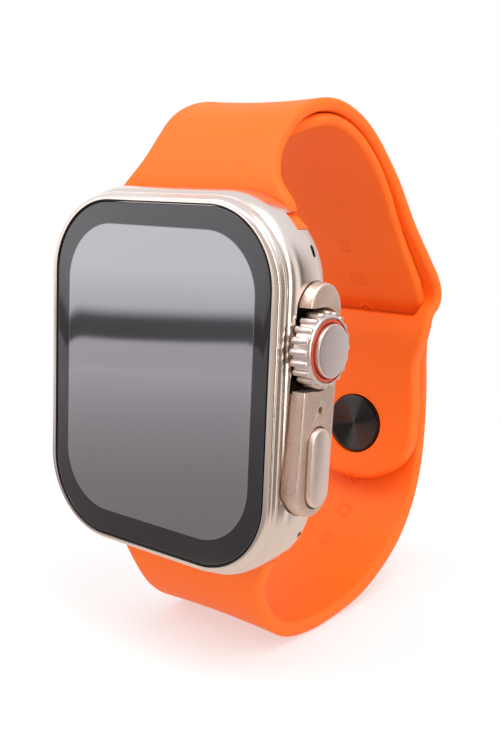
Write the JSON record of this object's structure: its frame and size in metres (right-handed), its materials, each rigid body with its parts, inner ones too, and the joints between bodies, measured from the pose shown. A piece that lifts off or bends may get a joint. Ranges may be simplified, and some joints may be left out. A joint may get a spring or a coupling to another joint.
{
  "type": "running watch",
  "caption": "Rounded metal running watch with a toothed side crown, side buttons and a closed pin-and-tuck soft band.",
  "frame": {"origin": "centre of the flat sensor window that rests on the wrist", "axes": "+X to the crown side, +Y from the display to the wrist, +Z to twelve o'clock"},
  "size_m": [0.0462, 0.0574, 0.0772],
  "materials": {
    "polished_case": "polished warm silver",
    "blasted_metal": "fine bead-blasted champagne",
    "crown_metal": "satin",
    "steel": "satin",
    "black_glass": "polished, printed black behind the border",
    "sensor_glass": "polished dark",
    "display": "dark display stack",
    "inner_plastic": "moulded black",
    "circuit_board": "solder mask",
    "battery_foil": "wrapped pouch",
    "copper": "wound wire",
    "ferrite": "sintered",
    "ceramic": "dark ceramic",
    "black_rubber": "moulded seal",
    "red_ring": "satin lacquer",
    "orange_silicone": "soft matte moulded",
    "black_metal": "black, turned face"
  },
  "bodies": {
    "watch": {"case_body": "polished_case", "cover_glass": "black_glass", "glass_gasket": "black_rubber", "display_panel": "display", "display_frame": "inner_plastic", "main_board": "circuit_board", "battery": "battery_foil", "antenna": "copper", "vibration_motor": "steel", "speaker": "inner_plastic", "speaker_mesh": "steel", "microphone": "inner_plastic", "rear_cover": "ceramic", "rear_seal": "black_rubber", "sensor_window": "sensor_glass", "sensor_board": "circuit_board", "charging_coil": "copper", "coil_shield": "ferrite", "rear_screw_1": "steel", "rear_screw_2": "steel", "rear_screw_3": "steel", "rear_screw_4": "steel", "side_guard": "blasted_metal", "crown_bush": "steel", "crown_seal": "black_rubber", "crown_switch": "inner_plastic", "side_button_switch": "inner_plastic", "action_button_switch": "inner_plastic", "upper_strap": "orange_silicone", "lower_strap": "orange_silicone", "pin_disc": "black_metal", "pin_stud": "black_metal", "upper_latch_spring": "steel", "lower_latch_spring": "steel"},
    "crown_slider": {"crown_pusher": "inner_plastic"},
    "crown": {"crown_knob": "crown_metal", "crown_ring": "red_ring", "crown_cap": "crown_metal", "crown_stem": "steel"},
    "side_button": {"side_button": "blasted_metal"},
    "action_button": {"action_button": "blasted_metal"},
    "upper_release": {"upper_release": "blasted_metal", "upper_latch": "steel"},
    "lower_release": {"lower_release": "blasted_metal", "lower_latch": "steel"}
  },
  "joints": [
    {"name": "crown_press", "type": "slide", "parent": "watch", "child": "crown_slider", "axis": [-1, 0, 0], "range_m": [0, 0.0004], "stiffness_N_per_m": 1500, "springref_m": -0.0003},
    {"name": "crown_spin", "type": "hinge", "parent": "crown_slider", "child": "crown", "pos_m": [0.0225, -0.0085, 0.00628], "axis": [1, 0, 0], "continuous": true},
    {"name": "side_button_press", "type": "slide", "parent": "watch", "child": "side_button", "axis": [-1, 0, 0], "range_m": [0, 0.00035], "stiffness_N_per_m": 1500, "springref_m": -0.0003},
    {"name": "action_button_press", "type": "slide", "parent": "watch", "child": "action_button", "axis": [1, 0, 0], "range_m": [0, 0.00035], "stiffness_N_per_m": 1500, "springref_m": -0.0003},
    {"name": "upper_release_press", "type": "slide", "parent": "watch", "child": "upper_release", "axis": [0, -1, 0], "range_m": [0, 0.0004], "stiffness_N_per_m": 1200, "springref_m": -0.0003},
    {"name": "lower_release_press", "type": "slide", "parent": "watch", "child": "lower_release", "axis": [0, -1, 0], "range_m": [0, 0.0004], "stiffness_N_per_m": 1200, "springref_m": -0.0003}
  ]
}
